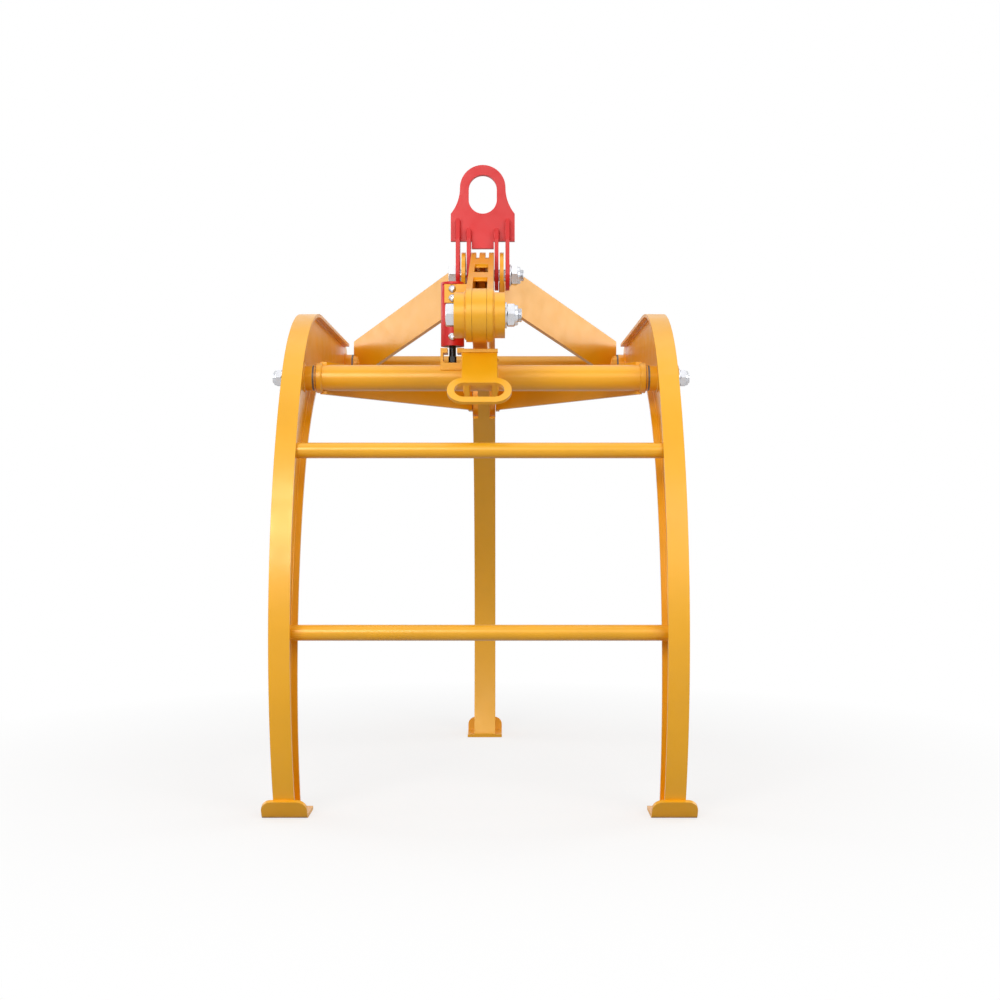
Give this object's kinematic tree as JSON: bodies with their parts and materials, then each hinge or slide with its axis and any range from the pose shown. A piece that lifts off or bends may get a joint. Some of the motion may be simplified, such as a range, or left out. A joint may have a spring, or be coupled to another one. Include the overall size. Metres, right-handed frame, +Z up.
{
  "type": "rock lifter",
  "caption": "Scissor grab for lifting rocks and kerb stones: curved jaws with turned-up feet, a hanger eye above and a turning latch",
  "frame": {"origin": "on the floor, in the middle of the open jaws, below the lifting eye", "axes": "+Z up, +Y from the two front arms to the single rear arm, +X to the right seen from the front"},
  "size_m": [0.962, 1.265, 1.5286],
  "materials": {
    "yellow_paint": "gloss yellow paint on welded steel",
    "red_paint": "gloss red paint on steel",
    "zinc_steel": "zinc plated fastener",
    "dark_steel": "dark machined steel",
    "black_steel": "black oxide steel"
  },
  "bodies": {
    "frame": {"front_tube": "yellow_paint", "front_tube_collars": "yellow_paint", "front_tube_bushes": "dark_steel", "v_bar_left": "yellow_paint", "v_bar_right": "yellow_paint", "rear_fork_left": "yellow_paint", "rear_fork_right": "yellow_paint", "fork_bolt": "zinc_steel", "fork_washer": "zinc_steel", "fork_nut": "zinc_steel", "grip_handle": "yellow_paint", "grip_ribs": "yellow_paint", "latch_keeper": "yellow_paint"},
    "front_jaw": {"front_left_arm": "yellow_paint", "front_right_arm": "yellow_paint", "front_left_foot": "yellow_paint", "front_right_foot": "yellow_paint", "upper_rung": "yellow_paint", "lower_rung": "yellow_paint", "front_pivot_studs": "zinc_steel", "front_pivot_washers": "zinc_steel", "front_pivot_thrust_rings": "dark_steel", "front_pivot_nuts": "zinc_steel", "rear_pivot_studs": "zinc_steel", "rear_pivot_washers": "zinc_steel", "rear_pivot_thrust_rings": "dark_steel", "rear_pivot_nuts": "zinc_steel"},
    "rear_jaw": {"rear_arm": "yellow_paint", "rear_foot": "yellow_paint"},
    "front_link": {"link_plate_left": "yellow_paint", "link_plate_right": "yellow_paint", "link_cross_plates": "yellow_paint", "link_middle_lug": "yellow_paint", "link_drums": "yellow_paint", "drum_bolt": "zinc_steel", "drum_washer": "zinc_steel", "drum_nut": "zinc_steel", "latch_housing": "red_paint", "latch_guides": "dark_steel", "latch_bracket": "yellow_paint", "latch_screws": "yellow_paint"},
    "rear_link": {"rear_link_plate_left": "yellow_paint", "rear_link_plate_right": "yellow_paint", "brace_left": "yellow_paint", "brace_right": "yellow_paint", "rear_tube": "yellow_paint", "rear_tube_collars": "yellow_paint", "rear_tube_bushes": "dark_steel"},
    "hanger": {"eye_plate": "red_paint", "outer_lug_left": "red_paint", "outer_lug_right": "red_paint", "inner_lug_left": "red_paint", "inner_lug_right": "red_paint", "hanger_bolt": "zinc_steel", "hanger_washer": "zinc_steel", "hanger_nut": "zinc_steel"},
    "latch": {"latch_spindle": "black_steel"}
  },
  "joints": [
    {"name": "front_jaw_hinge", "type": "hinge", "parent": "frame", "child": "front_jaw", "pos_m": [0, -0.3075, 0.963], "axis": [1, 0, 0], "range_deg": [0, 15]},
    {"name": "rear_jaw_hinge", "type": "hinge", "parent": "frame", "child": "rear_jaw", "pos_m": [0, 0.3075, 0.963], "axis": [-1, 0, 0], "range_deg": [0, 15]},
    {"name": "front_link_hinge", "type": "hinge", "parent": "rear_jaw", "child": "front_link", "pos_m": [0, -0.5425, 1.077], "axis": [1, 0, 0], "range_deg": [0, 28.7]},
    {"name": "rear_link_hinge", "type": "hinge", "parent": "front_jaw", "child": "rear_link", "pos_m": [0, 0.5425, 1.077], "axis": [-1, 0, 0], "range_deg": [0, 28.7]},
    {"name": "hanger_swing", "type": "hinge", "parent": "front_link", "child": "hanger", "pos_m": [0, 0, 1.25], "axis": [1, 0, 0], "range_deg": [-30, 30]},
    {"name": "latch_turn", "type": "hinge", "parent": "front_link", "child": "latch", "pos_m": [-0.066, -0.3075, 1.05], "axis": [0, 0, 1], "range_deg": [0, 90]}
  ],
  "couplings": [
    {"joint": "rear_jaw_hinge", "follows": "front_jaw_hinge", "ratio": 1},
    {"joint": "front_link_hinge", "follows": "front_jaw_hinge", "ratio": 1.91},
    {"joint": "rear_link_hinge", "follows": "front_jaw_hinge", "ratio": 1.91}
  ]
}
